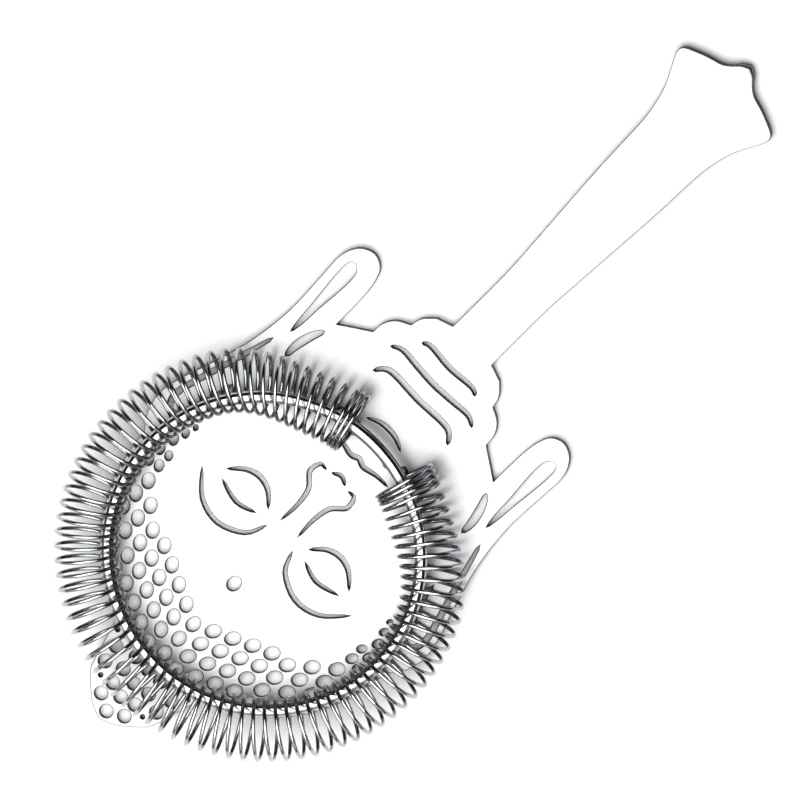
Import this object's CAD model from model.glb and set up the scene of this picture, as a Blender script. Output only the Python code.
"""A hawthorne strainer in polished stainless steel: the cut plate, the round hoop on its two
welded posts and the coil spring, with a studio around them. All lengths are in metres."""

import math

import bpy
from bpy.props import (
    FloatProperty, FloatVectorProperty, IntProperty, PointerProperty, StringProperty)
from mathutils import Matrix, Vector


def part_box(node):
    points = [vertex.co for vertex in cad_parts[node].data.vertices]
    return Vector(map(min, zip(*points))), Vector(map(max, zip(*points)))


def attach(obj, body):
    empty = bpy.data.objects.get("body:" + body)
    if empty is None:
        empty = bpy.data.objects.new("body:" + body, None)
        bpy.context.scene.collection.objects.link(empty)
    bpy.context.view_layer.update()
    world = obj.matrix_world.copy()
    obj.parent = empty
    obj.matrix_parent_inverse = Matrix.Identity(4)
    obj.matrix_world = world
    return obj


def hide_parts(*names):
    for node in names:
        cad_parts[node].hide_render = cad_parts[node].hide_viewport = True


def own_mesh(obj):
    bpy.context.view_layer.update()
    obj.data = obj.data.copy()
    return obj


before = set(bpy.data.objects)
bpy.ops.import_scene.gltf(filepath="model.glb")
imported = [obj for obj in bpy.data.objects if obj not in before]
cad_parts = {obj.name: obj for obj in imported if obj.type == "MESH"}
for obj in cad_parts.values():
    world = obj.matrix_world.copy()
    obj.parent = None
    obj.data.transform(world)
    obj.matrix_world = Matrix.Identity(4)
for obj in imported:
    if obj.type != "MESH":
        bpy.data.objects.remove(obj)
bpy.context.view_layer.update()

bl_info = {
    "name": "Hawthorne strainer",
    "version": (1, 0, 0),
    "blender": (4, 5, 0),
    "location": "View3D > Sidebar > Strainer",
    "description": "Builds a cut steel strainer with its hoop, coil spring and a small studio",
    "category": "Add Mesh",
}

MM = 0.001

PLATE_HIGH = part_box("strainer_plate")[1]
HOOP_LOW, HOOP_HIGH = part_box("spring_hoop")
COIL_LOW, COIL_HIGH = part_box("coil_spring")

ROD_RADIUS = (HOOP_HIGH.z - HOOP_LOW.z) / 2
HOOP_RADIUS = HOOP_HIGH.x - ROD_RADIUS
HOOP_HEIGHT = (HOOP_HIGH.z + HOOP_LOW.z) / 2
COIL_HEIGHT = (COIL_HIGH.z + COIL_LOW.z) / 2
COIL_RADIUS = (COIL_HIGH.z - COIL_LOW.z) / 2
PLATE_TOP = PLATE_HIGH.z
HANDLE_TIP = PLATE_HIGH.y

CUT_CORNER = math.radians(60)  # two faces that turn more than this meet at a cut corner
WALL_RISE = 0.2  # a face of the sheet whose normal rises less than this is a laser-cut wall
FLAT_RISE = 0.9999  # and one whose normal rises more than this is a broad face
NODE_MERGE = 0.002 * MM  # corners of a CAD node closer than this are one corner
SEAM_MERGE = 0.001 * MM  # the same for the seam of a spin or of a swept wire
STUD_RINGS = 28  # rings along a post, so that its weld flares come out round
FLOOR_SIZE = 6
FLOOR_DROP = 0.02 * MM  # keeps the floor clear of the plate's underside


# ---------------------------------------------------------------------------- settings


class PlateSettings(bpy.types.PropertyGroup):
    """How the cut sheet is finished along its edges."""

    edge_round: FloatProperty(
        name="Edge rounding", description="Radius left by tumbling on every cut edge",
        default=0.22 * MM, min=0, max=0.5 * MM, unit="LENGTH")
    tip_round: FloatProperty(
        name="Tip rounding", description="Radius that the very tip of the handle is rolled to",
        default=0.8 * MM, min=0.5 * MM, max=1.8 * MM, unit="LENGTH")
    tip_length: FloatProperty(
        name="Tip length", description="How far back from the tip the larger rounding fades out",
        default=3.6 * MM, min=1 * MM, max=10 * MM, unit="LENGTH")
    edge_steps: IntProperty(
        name="Edge steps", description="Number of faces across a rounded edge",
        default=4, min=1, max=8)


class HoopSettings(bpy.types.PropertyGroup):
    """The bent rod and the posts that it is welded to."""

    steps: IntProperty(
        name="Steps round the hoop", description="Number of faces round the whole hoop",
        default=288, min=64, max=512)
    sides: IntProperty(
        name="Sides of the rod", description="Number of faces round the rod",
        default=32, min=12, max=64)
    weld_swell: FloatProperty(
        name="Weld swell", description="How far the closing weld stands proud of the rod",
        default=0.07 * MM, min=0, max=0.3 * MM, unit="LENGTH")
    post_flare: FloatProperty(
        name="Post flare", description="How much wider a post is in its weld than along its stem",
        default=0.42 * MM, min=0.05 * MM, max=0.8 * MM, unit="LENGTH")


class CoilSettings(bpy.types.PropertyGroup):
    """The wound spring wire."""

    turns: IntProperty(
        name="Turns", description="Number of turns of the whole coil", default=85, min=60, max=90)
    closed_turns: IntProperty(
        name="Close turns", description="Number of turns that lie close together at each end",
        default=3, min=2, max=4)
    closed_pitch: FloatProperty(
        name="Close pitch", description="Angle round the hoop from one close turn to the next",
        default=math.radians(1.86), subtype="ANGLE")
    start: FloatProperty(
        name="Start", description="Where the coil starts on the right, from the X axis",
        default=math.radians(73.4), subtype="ANGLE")
    gap: FloatProperty(
        name="Gap", description="Open stretch of hoop between the two ends of the coil",
        default=math.radians(26), subtype="ANGLE")
    wire: FloatProperty(
        name="Wire", description="Thickness of the spring wire",
        default=0.9 * MM, min=0.5 * MM, max=1.2 * MM, unit="LENGTH")
    ring: FloatProperty(
        name="Ring radius", description="Radius of the coil's own middle line",
        default=40.1 * MM, unit="LENGTH")
    ring_shift: FloatProperty(
        name="Ring shift", description="How far the loose coil sits off the middle of the hoop",
        default=0.3 * MM, unit="LENGTH")
    ring_shift_toward: FloatProperty(
        name="Shifted toward", description="Direction of that shift, from the X axis",
        default=math.radians(205), subtype="ANGLE")
    ring_end: FloatProperty(
        name="Ring radius at the ends", description="The same radius where the coil hugs the rod",
        default=36.4 * MM, unit="LENGTH")
    hug_from: FloatProperty(
        name="Hug", description="The coil hugs the rod as far as this from its ends",
        default=math.radians(12), subtype="ANGLE")
    hug_to: FloatProperty(
        name="Swell", description="The coil lies on its full ring from here on",
        default=math.radians(50), subtype="ANGLE")
    lead_share: FloatProperty(
        name="Uneven advance",
        description="How much more the wire moves on in a turn's inner half",
        default=1, min=0, max=1)
    steps: IntProperty(
        name="Steps a turn", description="Number of straight steps in one turn",
        default=30, min=12, max=48)


class FinishSettings(bpy.types.PropertyGroup):
    """Colours of the steels and of the studio floor."""

    sheet: StringProperty(
        name="Sheet", description="Colour of the polished stainless sheet", default="#9C9D9E")
    cut: StringProperty(
        name="Cut edge", description="Colour of the laser-cut walls", default="#4E4E50")
    rod: StringProperty(
        name="Rod", description="Colour of the bright stainless rod", default="#B9BABC")
    wire: StringProperty(
        name="Wire", description="Colour of the drawn spring wire", default="#B1B2B4")
    floor: StringProperty(
        name="Floor", description="Colour of the studio floor", default="#EAEAEA")


class StudioSettings(bpy.types.PropertyGroup):
    """Where the camera stands and how strong the light is."""

    tilt: FloatProperty(
        name="Tilt", description="How far the camera leans from straight above towards the handle",
        default=math.radians(12), subtype="ANGLE")
    turn: FloatProperty(
        name="Turn",
        description="How far the picture is turned so that the handle runs to a corner",
        default=math.radians(45.05), subtype="ANGLE")
    distance: FloatProperty(
        name="Distance", description="From the camera to the point that it looks at",
        default=8, min=0.5, max=12, unit="LENGTH")
    view_width: FloatProperty(
        name="View width", description="Width of what the camera sees at that distance",
        default=180.2 * MM, unit="LENGTH")
    look_at: FloatVectorProperty(
        name="Look at", description="The point on the floor in the middle of the view",
        default=(-2.85 * MM, 45.3 * MM, 0), subtype="XYZ", unit="LENGTH")
    sky: FloatProperty(
        name="Sky", description="Brightness of the white wall", default=1.1, min=0, max=4)
    lamp: FloatProperty(
        name="Lamp", description="Brightness of the softbox", default=2.5, min=0, max=10)
    lamp_size: FloatVectorProperty(
        name="Lamp size", description="Width, depth, far edge and height of the softbox",
        size=4, default=(0.42, 0.46, 0.19, 0.3), unit="LENGTH")


GROUPS = {
    "strainer_plate_settings": PlateSettings,
    "strainer_hoop_settings": HoopSettings,
    "strainer_coil_settings": CoilSettings,
    "strainer_finish_settings": FinishSettings,
    "strainer_studio_settings": StudioSettings,
}


# ---------------------------------------------------------------------------- modelling


def deselect():
    if bpy.context.object and bpy.context.object.mode != "OBJECT":
        bpy.ops.object.mode_set(mode="OBJECT")
    bpy.ops.object.select_all(action="DESELECT")


def only(piece):
    """Selects one piece and makes it the active one."""
    deselect()
    piece.select_set(True)
    bpy.context.view_layer.objects.active = piece


def apply_modifier(piece, kind, **settings):
    only(piece)
    modifier = piece.modifiers.new(kind.title(), kind)
    for key, value in settings.items():
        setattr(modifier, key, value)
    bpy.ops.object.modifier_apply(modifier=modifier.name)


def settle(piece, name, material):
    """Names a finished piece, puts its place into its mesh and gives it its material."""
    only(piece)
    bpy.ops.object.transform_apply(location=True, rotation=True, scale=True)
    piece.name = piece.data.name = name
    piece.data.materials.clear()
    piece.data.materials.append(material)


def smoothstep(t):
    t = min(max(t, 0), 1)
    return t * t * (3 - 2 * t)


def copy_of_node(node):
    """A CAD node's shape as a new piece, with its loose triangles merged into one clean skin."""
    only(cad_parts[node])
    bpy.ops.object.duplicate()
    piece = bpy.context.object
    for key in list(piece.keys()):
        del piece[key]
    piece.parent = None
    bpy.ops.object.mode_set(mode="EDIT")
    bpy.ops.mesh.select_all(action="SELECT")
    bpy.ops.mesh.remove_doubles(threshold=NODE_MERGE)
    bpy.ops.mesh.customdata_custom_splitnormals_clear()
    bpy.ops.mesh.dissolve_limited(angle_limit=math.radians(0.5))
    bpy.ops.object.mode_set(mode="OBJECT")
    return piece


def weigh_cut_edges(piece, plain_share, tip_length):
    """Marks the sheet's cut edges for bevelling, and the handle's tip for a larger radius."""
    mesh = piece.data
    weights = mesh.attributes.new("bevel_weight_edge", "FLOAT", "EDGE")
    normals = {}
    for face in mesh.polygons:
        for key in face.edge_keys:
            normals.setdefault(key, []).append(face.normal)
    for edge in mesh.edges:
        pair = normals.get(tuple(sorted(edge.vertices)), [])
        if len(pair) != 2 or pair[0].dot(pair[1]) > math.cos(CUT_CORNER):
            continue
        broad_face_to_wall = abs(pair[0].z - pair[1].z) > 0.5
        if not broad_face_to_wall:
            continue
        middle = (mesh.vertices[edge.vertices[0]].co + mesh.vertices[edge.vertices[1]].co) / 2
        on_top = middle.z > PLATE_TOP / 2
        near_tip = smoothstep(1 - (HANDLE_TIP - middle.y) / tip_length) if on_top else 0
        weights.data[edge.index].value = plain_share + (1 - plain_share) * near_tip


def shade_sheet(piece):
    """Smooth along rounded edges, flat on the two broad faces."""
    only(piece)
    bpy.ops.object.shade_smooth_by_angle(angle=math.radians(40))
    for face in piece.data.polygons:
        if abs(face.normal.z) > FLAT_RISE:
            face.use_smooth = False


def coil_angle(coil, t):
    """Angle round the hoop after t turns, from the coil's start."""
    open_turns = coil.turns - 2 * coil.closed_turns
    open_pitch = (math.tau - coil.gap - 2 * coil.closed_turns * coil.closed_pitch) / open_turns
    opened = min(max(t - coil.closed_turns, 0), open_turns)
    return coil.start - coil.closed_pitch * t - (open_pitch - coil.closed_pitch) * opened


def coil_point(coil, t):
    """The middle of the wire after t turns. A turn starts under the rod and first goes outward."""
    even_angle = coil_angle(coil, t)
    from_end = min(coil.start - even_angle, even_angle - coil_angle(coil, coil.turns))
    swell = smoothstep((from_end - coil.hug_from) / (coil.hug_to - coil.hug_from))
    full = coil.ring + coil.ring_shift * math.cos(even_angle - coil.ring_shift_toward)
    turn = math.tau * t - math.pi / 2
    wind = COIL_RADIUS - coil.wire / 2
    radius = coil.ring_end + (full - coil.ring_end) * swell + wind * math.cos(turn)
    # The wire moves on round the hoop mostly in the inner half of each turn.
    lead = t - coil.lead_share / math.tau * (1 - math.cos(math.tau * t))
    angle = coil_angle(coil, lead)
    return Vector((
        radius * math.cos(angle), radius * math.sin(angle), COIL_HEIGHT + wind * math.sin(turn)))


# ---------------------------------------------------------------------------- materials


def linear(code):
    """A linear colour from an sRGB hex value."""
    parts = [int(code[i:i + 2], 16) / 255 for i in (1, 3, 5)]
    return [c / 12.92 if c <= 0.04045 else ((c + 0.055) / 1.055) ** 2.4 for c in parts] + [1]


def add(tree, kind, inputs=None, **settings):
    """Adds a node. Each input is a value, or the output socket that it is linked to."""
    node = tree.nodes.new("ShaderNode" + kind)
    for key, value in settings.items():
        setattr(node, key, value)
    for key, value in (inputs or {}).items():
        if isinstance(value, bpy.types.NodeSocket):
            tree.links.new(value, node.inputs[key])
        else:
            node.inputs[key].default_value = value
    return node


def metal(name, colour):
    """A bare metal, its tree, its shader and its Object coordinates. The IOR stays at its
    default."""
    material = bpy.data.materials.new(name)
    material.use_nodes = True
    tree = material.node_tree
    shader = tree.nodes["Principled BSDF"]
    shader.inputs["Base Color"].default_value = linear(colour)
    shader.inputs["Metallic"].default_value = 1
    return material, tree, shader, add(tree, "TexCoord").outputs["Object"]


def polished_stainless_sheet(colour):
    """304 sheet, laser cut, tumbled and polished: nearly a mirror, but softened by a fine grain
    that runs along the handle and by the cloudy trace of the polishing wheel."""
    material, tree, shader, place = metal("polished_stainless_sheet", colour)
    # Grain 0.25 mm apart and 12 mm long. Real 400 grit is finer, and would not show.
    grain_place = add(tree, "Mapping", {"Vector": place, "Scale": (4000, 80, 4000)})
    grain = add(tree, "TexNoise", {"Vector": grain_place.outputs[0], "Scale": 1, "Detail": 3})
    # Clouds 9 mm across, where the wheel pressed more or less.
    cloud = add(tree, "TexNoise", {"Vector": place, "Scale": 110, "Detail": 2, "Roughness": 0.4})
    # The hand wears the last 20 mm of the handle, so the grain shows more there.
    split = add(tree, "SeparateXYZ", {"Vector": place})
    worn = add(tree, "MapRange", {
        "Value": split.outputs["Y"], "From Min": HANDLE_TIP - 20 * MM, "From Max": HANDLE_TIP,
        "To Min": 0.25, "To Max": 1}, interpolation_type="SMOOTHSTEP")
    rough_grain = add(tree, "MapRange", {
        "Value": grain.outputs["Fac"], "From Min": 0.3, "From Max": 0.7,
        "To Min": 0.33, "To Max": 0.38})
    rough = add(tree, "MapRange", {
        "Value": cloud.outputs["Fac"], "From Min": 0.3, "From Max": 0.7,
        "To Min": -0.02, "To Max": 0.03})
    total = add(tree, "Math", {0: rough_grain.outputs[0], 1: rough.outputs[0]}, operation="ADD")
    lift = add(tree, "Math", {0: grain.outputs["Fac"], 1: worn.outputs[0]}, operation="MULTIPLY")
    bump = add(tree, "Bump", {"Height": lift.outputs[0], "Strength": 0.25, "Distance": 0.004 * MM})
    tree.links.new(total.outputs[0], shader.inputs["Roughness"])
    tree.links.new(bump.outputs[0], shader.inputs["Normal"])
    return material


def laser_cut_edge(colour):
    """The wall that the laser leaves: a dull, dark skin with fine upright ripples."""
    material, tree, shader, place = metal("laser_cut_edge", colour)
    # Ripples 0.2 mm apart, as fast cutting leaves them, that run through the whole thickness.
    upright = add(tree, "Mapping", {"Vector": place, "Scale": (5000, 5000, 150)})
    ripple = add(tree, "TexNoise", {"Vector": upright.outputs[0], "Scale": 1, "Detail": 2})
    rough = add(tree, "MapRange", {
        "Value": ripple.outputs["Fac"], "From Min": 0.3, "From Max": 0.7,
        "To Min": 0.34, "To Max": 0.5})
    bump = add(tree, "Bump", {"Height": ripple.outputs["Fac"], "Strength": 0.4,
                              "Distance": 0.02 * MM})
    tree.links.new(rough.outputs[0], shader.inputs["Roughness"])
    tree.links.new(bump.outputs[0], shader.inputs["Normal"])
    return material


def bright_stainless_rod(colour):
    """Rod bent to a hoop and buffed bright: a mirror softened by buffing haze."""
    material, tree, shader, place = metal("bright_stainless_rod", colour)
    haze = add(tree, "TexNoise", {"Vector": place, "Scale": 260, "Detail": 3})
    rough = add(tree, "MapRange", {
        "Value": haze.outputs["Fac"], "From Min": 0.3, "From Max": 0.7,
        "To Min": 0.13, "To Max": 0.2})
    # Buffing lines 0.15 mm apart, a little coarser than real so that they catch the light.
    line = add(tree, "TexNoise", {"Vector": place, "Scale": 6600, "Detail": 1})
    bump = add(tree, "Bump", {"Height": line.outputs["Fac"], "Strength": 0.08,
                              "Distance": 0.002 * MM})
    tree.links.new(rough.outputs[0], shader.inputs["Roughness"])
    tree.links.new(bump.outputs[0], shader.inputs["Normal"])
    return material


def drawn_spring_wire(colour):
    """Hard-drawn 302 spring wire: bright, with a slightly uneven skin from the drawing die."""
    material, tree, shader, place = metal("drawn_spring_wire", colour)
    skin = add(tree, "TexNoise", {"Vector": place, "Scale": 900, "Detail": 4})
    rough = add(tree, "MapRange", {
        "Value": skin.outputs["Fac"], "From Min": 0.3, "From Max": 0.7,
        "To Min": 0.09, "To Max": 0.17})
    bump = add(tree, "Bump", {"Height": skin.outputs["Fac"], "Strength": 0.1,
                              "Distance": 0.004 * MM})
    tree.links.new(rough.outputs[0], shader.inputs["Roughness"])
    tree.links.new(bump.outputs[0], shader.inputs["Normal"])
    return material


def studio_floor(colour):
    """Matt white laminate board under the strainer."""
    material = bpy.data.materials.new("studio_floor")
    material.use_nodes = True
    tree = material.node_tree
    shader = tree.nodes["Principled BSDF"]
    shader.inputs["Base Color"].default_value = linear(colour)
    place = add(tree, "TexCoord").outputs["Object"]
    mottle = add(tree, "TexNoise", {"Vector": place, "Scale": 300, "Detail": 4})
    rough = add(tree, "MapRange", {"Value": mottle.outputs["Fac"], "To Min": 0.75, "To Max": 0.95})
    tree.links.new(rough.outputs[0], shader.inputs["Roughness"])
    return material


# ---------------------------------------------------------------------------- operators


class STRAINER_OT_plate(bpy.types.Operator):
    """Cut plate: head, ears, shoulders and handle in one sheet with tumbled edges"""

    bl_idname = "strainer.plate"
    bl_label = "Cut plate"

    def execute(self, context):
        plate = context.scene.strainer_plate_settings
        finish = context.scene.strainer_finish_settings
        piece = copy_of_node("strainer_plate")
        weigh_cut_edges(piece, plate.edge_round / plate.tip_round, plate.tip_length)
        apply_modifier(
            piece, "BEVEL", width=plate.tip_round, segments=plate.edge_steps,
            limit_method="WEIGHT", use_clamp_overlap=False, miter_outer="MITER_SHARP")
        settle(piece, "cut_plate", polished_stainless_sheet(finish.sheet))
        shade_sheet(piece)
        piece.data.materials.append(laser_cut_edge(finish.cut))
        for face in piece.data.polygons:
            if abs(face.normal.z) < WALL_RISE:
                face.material_index = 1
        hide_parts("strainer_plate")
        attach(piece, "strainer")
        return {"FINISHED"}


class STRAINER_OT_hoop(bpy.types.Operator):
    """Rod hoop: a round rod bent to a ring and closed with a dressed weld"""

    bl_idname = "strainer.hoop"
    bl_label = "Rod hoop"

    def execute(self, context):
        hoop = context.scene.strainer_hoop_settings
        finish = context.scene.strainer_finish_settings
        deselect()
        bpy.ops.mesh.primitive_circle_add(
            vertices=hoop.sides, radius=ROD_RADIUS, location=(HOOP_RADIUS, 0, HOOP_HEIGHT),
            rotation=(math.pi / 2, 0, 0))
        piece = context.object
        bpy.ops.object.transform_apply(location=True, rotation=True, scale=True)
        bpy.ops.object.mode_set(mode="EDIT")
        bpy.ops.mesh.select_all(action="SELECT")
        bpy.ops.mesh.spin(
            steps=hoop.steps, angle=math.tau, center=(0, 0, 0), axis=(0, 0, 1), dupli=False)
        bpy.ops.mesh.select_all(action="SELECT")
        bpy.ops.mesh.remove_doubles(threshold=SEAM_MERGE)
        bpy.ops.mesh.normals_make_consistent(inside=False)
        bpy.ops.object.mode_set(mode="OBJECT")
        self.swell_weld(piece.data, hoop.weld_swell)
        settle(piece, "rod_hoop", bright_stainless_rod(finish.rod))
        bpy.ops.object.shade_smooth()
        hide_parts("spring_hoop")
        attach(piece, "strainer")
        return {"FINISHED"}

    def swell_weld(self, mesh, swell):
        """The closing weld, under the coil at the crown, stands a hair proud of the rod."""
        reach = math.radians(1.6)
        for vertex in mesh.vertices:
            place = vertex.co
            away = abs(math.atan2(place.x, -place.y)) / reach
            if away < 1:
                middle = Vector((place.x, place.y, 0)).normalized() * HOOP_RADIUS
                middle.z = HOOP_HEIGHT
                vertex.co += (place - middle).normalized() * swell * (1 - away * away)


class STRAINER_OT_posts(bpy.types.Operator):
    """Posts: two studs that carry the hoop, flared at both ends where they are welded"""

    bl_idname = "strainer.posts"
    bl_label = "Hoop posts"

    def execute(self, context):
        hoop = context.scene.strainer_hoop_settings
        finish = context.scene.strainer_finish_settings
        material = bright_stainless_rod(finish.rod)
        material.name = "welded_stainless_stud"
        for side in ("right", "left"):
            node = "hoop_post_" + side
            low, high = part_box(node)
            middle = (low + high) / 2
            piece = self.stud(middle, (high.y - low.y) / 2, hoop.post_flare)
            settle(piece, "post_" + side, material)
            bpy.ops.object.shade_smooth_by_angle(angle=math.radians(50))
            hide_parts(node)
            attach(piece, "strainer")
        return {"FINISHED"}

    def stud(self, middle, radius, flare):
        """A stem from the plate to the middle of the rod, widened by its two welds."""
        bottom, top = PLATE_TOP, HOOP_HEIGHT
        deselect()
        bpy.ops.mesh.primitive_cylinder_add(
            vertices=24, radius=radius, depth=top - bottom,
            location=(middle.x, middle.y, (top + bottom) / 2))
        piece = bpy.context.object
        bpy.ops.object.transform_apply(location=True, rotation=True, scale=True)
        bpy.ops.object.mode_set(mode="EDIT")
        for k in range(1, STUD_RINGS):
            bpy.ops.mesh.select_all(action="SELECT")
            bpy.ops.mesh.bisect(
                plane_co=(0, 0, bottom + (top - bottom) * k / STUD_RINGS), plane_no=(0, 0, 1))
        bpy.ops.object.mode_set(mode="OBJECT")
        under_rod = HOOP_HEIGHT - ROD_RADIUS
        weld_length = 2 * flare
        for vertex in piece.data.vertices:
            from_weld = min(vertex.co.z - bottom, max(under_rod - vertex.co.z, 0))
            share = max(0, 1 - from_weld / weld_length) ** 2
            widen = (radius + flare * share) / radius
            vertex.co.x = middle.x + (vertex.co.x - middle.x) * widen
            vertex.co.y = middle.y + (vertex.co.y - middle.y) * widen
        return piece


class STRAINER_OT_coil(bpy.types.Operator):
    """Coil spring: one wire wound round the hoop, close at its ends and open between"""

    bl_idname = "strainer.coil"
    bl_label = "Coil spring"

    def execute(self, context):
        coil = context.scene.strainer_coil_settings
        finish = context.scene.strainer_finish_settings
        deselect()
        bpy.ops.curve.primitive_nurbs_path_add()
        piece = context.object
        wire = piece.data
        wire.splines.clear()
        count = coil.turns * coil.steps + 1
        spline = wire.splines.new("POLY")
        spline.points.add(count - 1)
        for i, point in enumerate(spline.points):
            point.co = (*coil_point(coil, i / coil.steps), 1)
        wire.dimensions = "3D"
        wire.twist_mode = "MINIMUM"
        wire.bevel_mode = "ROUND"
        wire.bevel_depth = coil.wire / 2
        wire.bevel_resolution = 4
        wire.use_fill_caps = True
        only(piece)
        bpy.ops.object.convert(target="MESH")
        piece = context.object
        bpy.ops.object.mode_set(mode="EDIT")
        bpy.ops.mesh.select_all(action="SELECT")
        bpy.ops.mesh.remove_doubles(threshold=SEAM_MERGE)
        bpy.ops.mesh.normals_make_consistent(inside=False)
        bpy.ops.object.mode_set(mode="OBJECT")
        settle(piece, "coil", drawn_spring_wire(finish.wire))
        bpy.ops.object.shade_smooth_by_angle(angle=math.radians(60))
        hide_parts("coil_spring")
        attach(piece, "coil")
        # The turns beside the posts stay there while the front gives way.
        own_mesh(piece)
        return {"FINISHED"}


class STRAINER_OT_stage(bpy.types.Operator):
    """Studio: pale floor, soft light from above and the camera"""

    bl_idname = "strainer.stage"
    bl_label = "Studio"

    def execute(self, context):
        studio = context.scene.strainer_studio_settings
        finish = context.scene.strainer_finish_settings
        self.floor(finish.floor)
        self.sky(context.scene, studio.sky)
        self.lamp(studio)
        self.camera(context.scene, studio)
        context.scene.view_settings.view_transform = "Standard"
        context.scene.view_settings.look = "High Contrast"
        return {"FINISHED"}

    def floor(self, colour):
        deselect()
        bpy.ops.mesh.primitive_plane_add(size=FLOOR_SIZE, location=(0, 0, -FLOOR_DROP))
        floor = bpy.context.object
        floor.name = "floor"
        floor.data.materials.append(studio_floor(colour))

    def sky(self, scene, strength):
        """A dark room with a white wall behind the head of the strainer."""
        world = bpy.data.worlds.new("studio_surround")
        world.use_nodes = True
        scene.world = world
        tree = world.node_tree
        tree.nodes.clear()
        ray = add(tree, "TexCoord").outputs["Generated"]
        split = add(tree, "SeparateXYZ", {"Vector": ray})
        toward_wall = (0.5, -0.87, 0)
        facing = add(tree, "VectorMath", {0: ray, 1: toward_wall}, operation="DOT_PRODUCT")
        wall = add(tree, "MapRange", {
            "Value": facing.outputs["Value"], "From Min": 0.15, "From Max": 0.6,
            "To Min": 0, "To Max": 1}, interpolation_type="SMOOTHSTEP")
        rise = add(tree, "MapRange", {
            "Value": split.outputs["Z"], "From Min": 0.08, "From Max": 0.4,
            "To Min": 0, "To Max": 1}, interpolation_type="SMOOTHSTEP")
        light = add(tree, "Math", {0: wall.outputs[0], 1: rise.outputs[0]}, operation="MULTIPLY")
        glow = add(tree, "MapRange", {
            "Value": light.outputs[0], "To Min": 0.05, "To Max": strength})
        surround = add(tree, "Background", {"Strength": glow.outputs[0]})
        add(tree, "OutputWorld", {"Surface": surround.outputs[0]})

    def lamp(self, studio):
        """A wide softbox close above, which ends soon beyond the handle's tip."""
        deselect()
        wide, deep, edge, height = studio.lamp_size
        bpy.ops.object.light_add(type="AREA", location=(0, edge - deep / 2, height))
        lamp = bpy.context.object
        lamp.name = "softbox"
        lamp.data.shape = "RECTANGLE"
        lamp.data.size = wide
        lamp.data.size_y = deep
        # With this power its face is as bright as the setting says, whatever its size.
        lamp.data.energy = math.pi * wide * deep * studio.lamp
        lamp.visible_camera = False

    def camera(self, scene, studio):
        deselect()
        bpy.ops.object.camera_add()
        camera = bpy.context.object
        across = Vector((1, 0, 0))
        along = Vector((0, math.cos(studio.tilt), -math.sin(studio.tilt)))
        back = across.cross(along)
        turned = Matrix.Rotation(studio.turn, 3, back)
        axes = Matrix((turned @ across, turned @ along, back)).transposed()
        look_at = Vector(studio.look_at)
        camera.matrix_world = Matrix.Translation(look_at + back * studio.distance) @ axes.to_4x4()
        camera.data.lens = camera.data.sensor_width * studio.distance / studio.view_width
        camera.data.clip_start = 0.01
        scene.camera = camera


OPERATORS = (
    STRAINER_OT_stage, STRAINER_OT_plate, STRAINER_OT_hoop, STRAINER_OT_posts, STRAINER_OT_coil)


class STRAINER_PT_panel(bpy.types.Panel):
    """Lists the strainer's pieces and the studio"""

    bl_idname = "STRAINER_PT_panel"
    bl_label = "Hawthorne strainer"
    bl_space_type = "VIEW_3D"
    bl_region_type = "UI"
    bl_category = "Strainer"

    def draw(self, context):
        for operator in OPERATORS:
            self.layout.operator(operator.bl_idname)
        for name, group in GROUPS.items():
            box = self.layout.box()
            for key in group.__annotations__:
                box.prop(getattr(context.scene, name), key)


def register():
    for name, group in GROUPS.items():
        bpy.utils.register_class(group)
        setattr(bpy.types.Scene, name, PointerProperty(type=group))
    for operator in OPERATORS:
        bpy.utils.register_class(operator)
    bpy.utils.register_class(STRAINER_PT_panel)


def unregister():
    bpy.utils.unregister_class(STRAINER_PT_panel)
    for operator in reversed(OPERATORS):
        bpy.utils.unregister_class(operator)
    for name, group in GROUPS.items():
        delattr(bpy.types.Scene, name)
        bpy.utils.unregister_class(group)


def main():
    register()
    bpy.ops.strainer.stage()
    bpy.ops.strainer.plate()
    bpy.ops.strainer.hoop()
    bpy.ops.strainer.posts()
    bpy.ops.strainer.coil()


if __name__ == "__main__":
    main()
